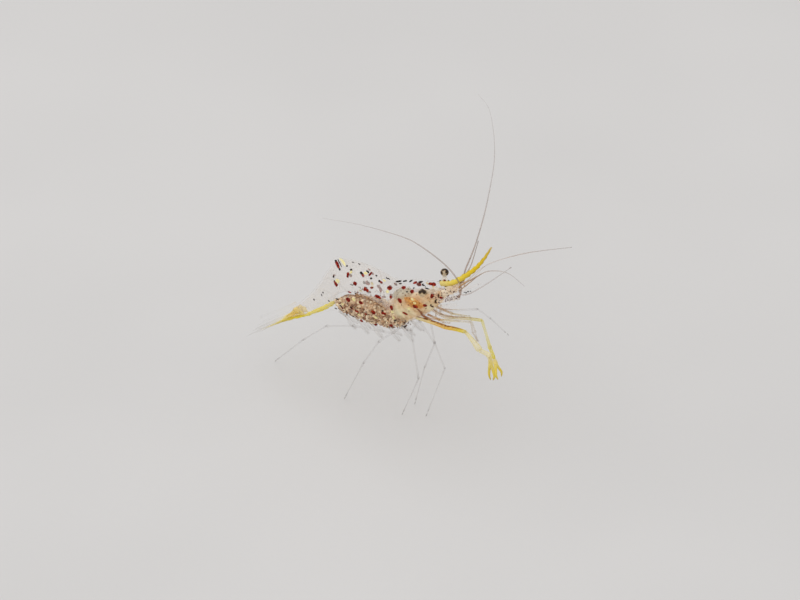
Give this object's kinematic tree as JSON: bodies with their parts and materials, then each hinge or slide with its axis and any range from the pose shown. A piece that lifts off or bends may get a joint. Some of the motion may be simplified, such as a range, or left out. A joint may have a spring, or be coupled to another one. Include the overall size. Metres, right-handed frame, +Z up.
{
  "type": "clear humpbacked cleaner shrimp with eggs",
  "caption": "Life-size still model of a clear, red-spotted humpbacked cleaner shrimp carrying eggs, standing on its walking legs with its yellow pincers held out in front.",
  "frame": {"origin": "on the floor, under the middle of the model's box", "axes": "+X is the way the animal faces, +Y is its left side, +Z is up"},
  "size_m": [0.0452, 0.0128, 0.0495],
  "materials": {
    "shell_clear": "clear glossy shell with dark red, yellow and black spots",
    "eggs": "small cream to olive eggs with dark specks, wet",
    "shell_yellow": "saturated yellow shell, glossy",
    "limb_amber": "orange-brown passing to yellow, glossy",
    "limb_clear": "clear grey with darker joints, glossy",
    "feeler_clear": "clear grey to pale brown, glossy",
    "eye": "black and pale striped, wet gloss"
  },
  "bodies": {
    "root": {"abdomen_ring_1": "shell_clear", "abdomen_ring_2": "shell_clear", "abdomen_ring_3": "shell_clear", "abdomen_ring_4": "shell_clear", "abdomen_ring_5": "shell_clear", "abdomen_ring_6": "shell_clear", "carapace": "shell_clear", "egg_clutch": "eggs", "left_claw": "shell_yellow", "left_claw_finger": "shell_yellow", "left_eye": "eye", "left_eye_stalk": "shell_clear", "left_feeler_root": "shell_clear", "left_feeler_scale": "shell_clear", "left_feeler_stem": "shell_clear", "left_inner_short_feeler": "feeler_clear", "left_leg_3": "limb_clear", "left_leg_4": "limb_clear", "left_leg_5": "limb_clear", "left_long_feeler_1": "feeler_clear", "left_long_feeler_2": "feeler_clear", "left_mouth_leg": "limb_amber", "left_outer_short_feeler": "feeler_clear", "left_pincer_leg_1": "limb_clear", "left_pincer_leg_2": "limb_amber", "left_swimmeret_1": "shell_clear", "left_swimmeret_2": "shell_clear", "left_swimmeret_3": "shell_clear", "left_swimmeret_4": "shell_clear", "left_swimmeret_5": "shell_clear", "left_tail_fin_inner": "shell_yellow", "left_tail_fin_outer": "shell_yellow", "right_claw": "shell_yellow", "right_claw_finger": "shell_yellow", "right_eye": "eye", "right_eye_stalk": "shell_clear", "right_feeler_root": "shell_clear", "right_feeler_scale": "shell_clear", "right_feeler_stem": "shell_clear", "right_inner_short_feeler": "feeler_clear", "right_leg_3": "limb_clear", "right_leg_4": "limb_clear", "right_leg_5": "limb_clear", "right_long_feeler_1": "feeler_clear", "right_long_feeler_2": "feeler_clear", "right_mouth_leg": "limb_amber", "right_outer_short_feeler": "feeler_clear", "right_pincer_leg_1": "limb_clear", "right_pincer_leg_2": "limb_amber", "right_swimmeret_1": "shell_clear", "right_swimmeret_2": "shell_clear", "right_swimmeret_3": "shell_clear", "right_swimmeret_4": "shell_clear", "right_swimmeret_5": "shell_clear", "right_tail_fin_inner": "shell_yellow", "right_tail_fin_outer": "shell_yellow", "rostrum": "shell_yellow", "telson": "shell_clear"}
  },
  "joints": []
}
